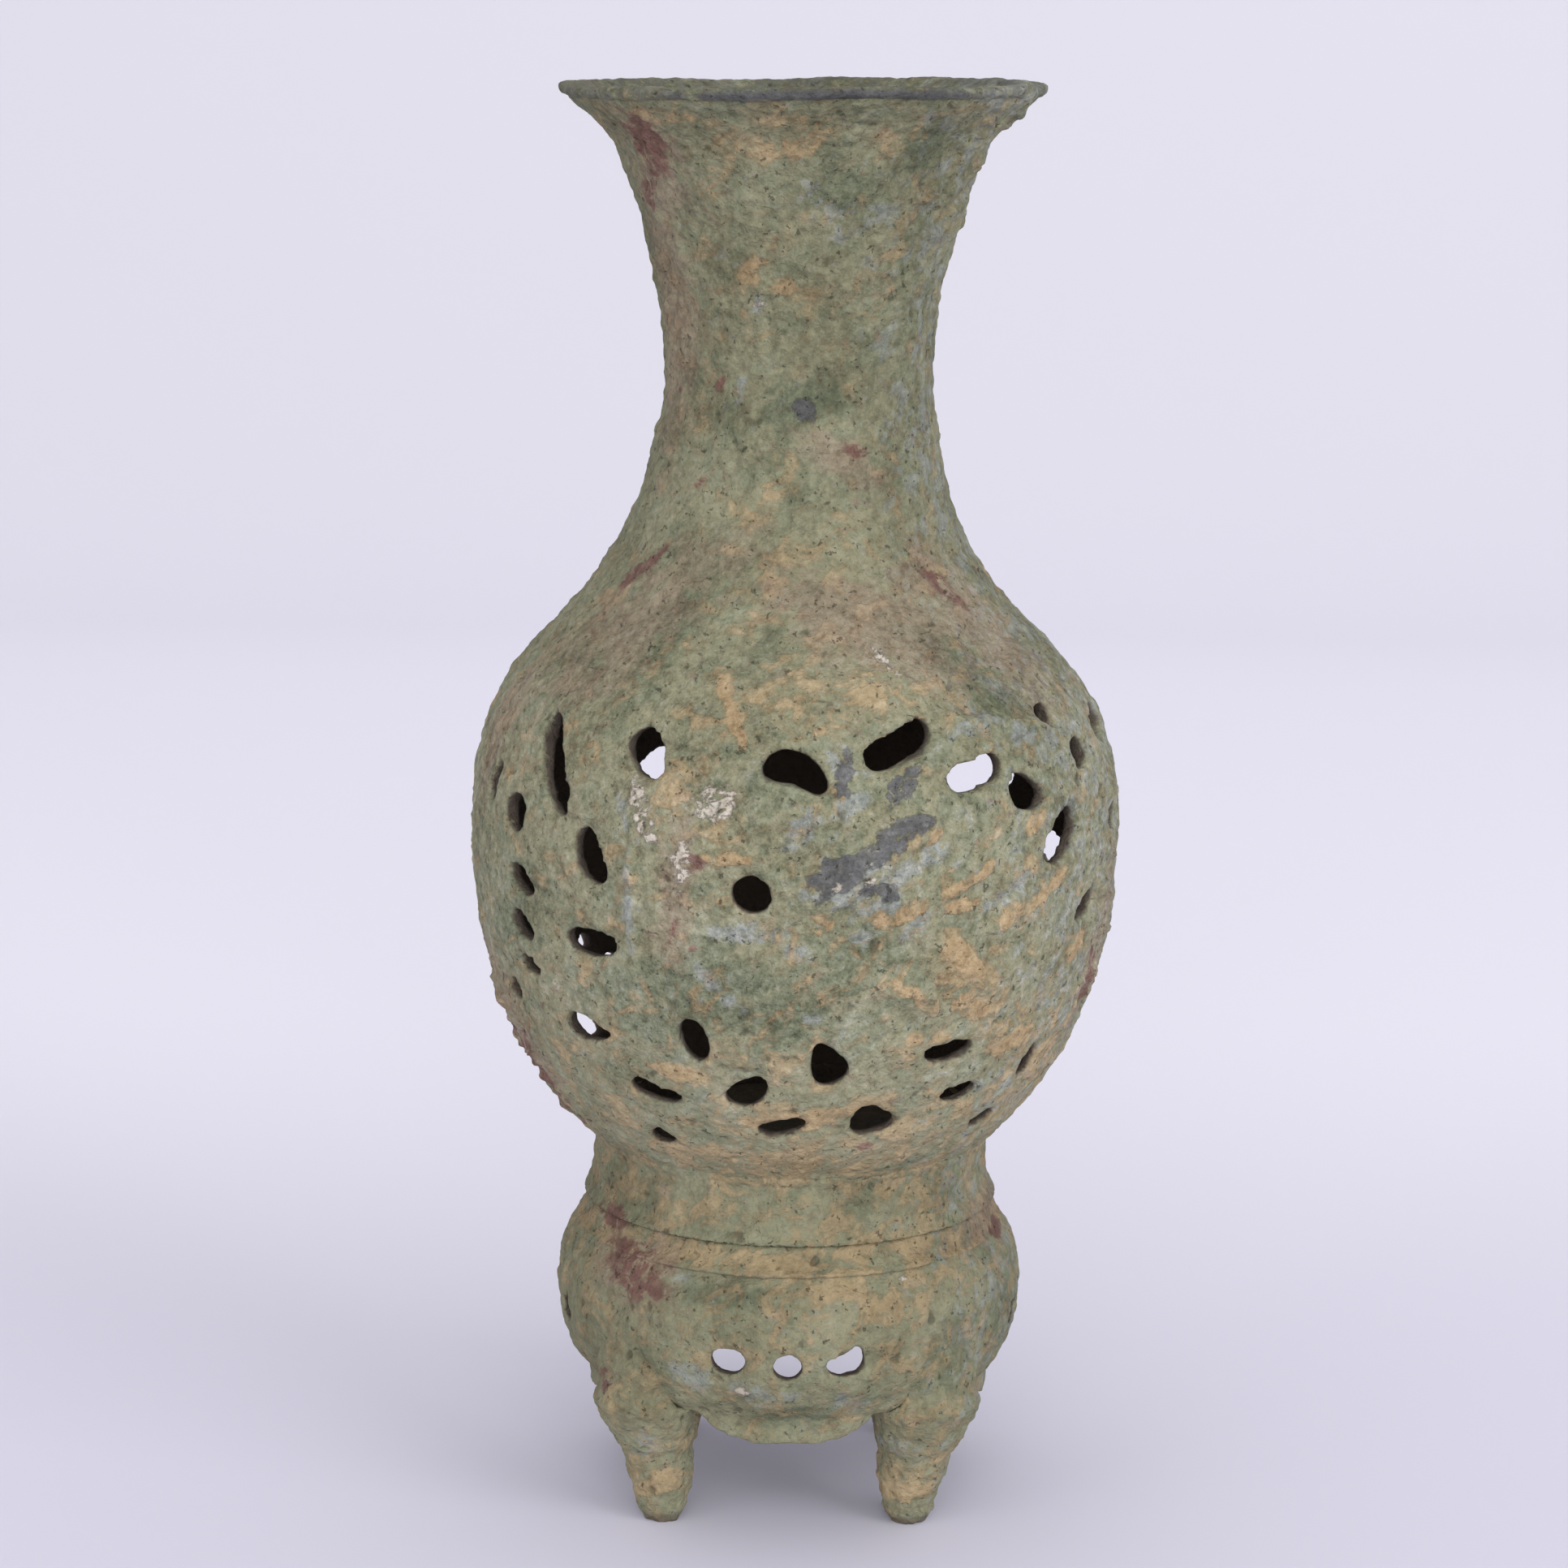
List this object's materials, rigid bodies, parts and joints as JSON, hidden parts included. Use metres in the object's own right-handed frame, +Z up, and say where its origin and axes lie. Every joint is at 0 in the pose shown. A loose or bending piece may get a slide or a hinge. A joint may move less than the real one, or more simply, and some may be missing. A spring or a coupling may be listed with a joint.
{
  "type": "reticulated vase",
  "caption": "Baluster vase of patinated bronze with a flared mouth and a pierced belly, standing loose in a round collared stand on short legs.",
  "frame": {"origin": "on the floor under the middle of the vase, level with the undersides of the legs", "axes": "+Z up along the vase's axis, -Y towards the front that the picture shows, +X to the viewer's right"},
  "size_m": [0.1284, 0.1284, 0.281],
  "materials": {
    "green_patina": "rough grey-green excavated patina with ochre earth and bare worn spots",
    "earthy_patina": "rough olive patina with much ochre earth",
    "bare_bronze": "dark worn bronze with little patina"
  },
  "bodies": {
    "stand": {"stand_bowl": "green_patina", "stand_collar": "earthy_patina", "seat_ring": "earthy_patina", "leg_front_left": "earthy_patina", "leg_front_right": "earthy_patina", "leg_rear_left": "earthy_patina", "leg_rear_right": "earthy_patina"},
    "vase": {"lip_ring": "bare_bronze", "neck": "green_patina", "pierced_body": "green_patina", "base_plate": "earthy_patina", "foot_ring": "earthy_patina"}
  },
  "joints": [
    {"name": "vase_lift", "type": "slide", "parent": "stand", "child": "vase", "axis": [0, 0, 1], "range_m": [0, 0.05]}
  ]
}
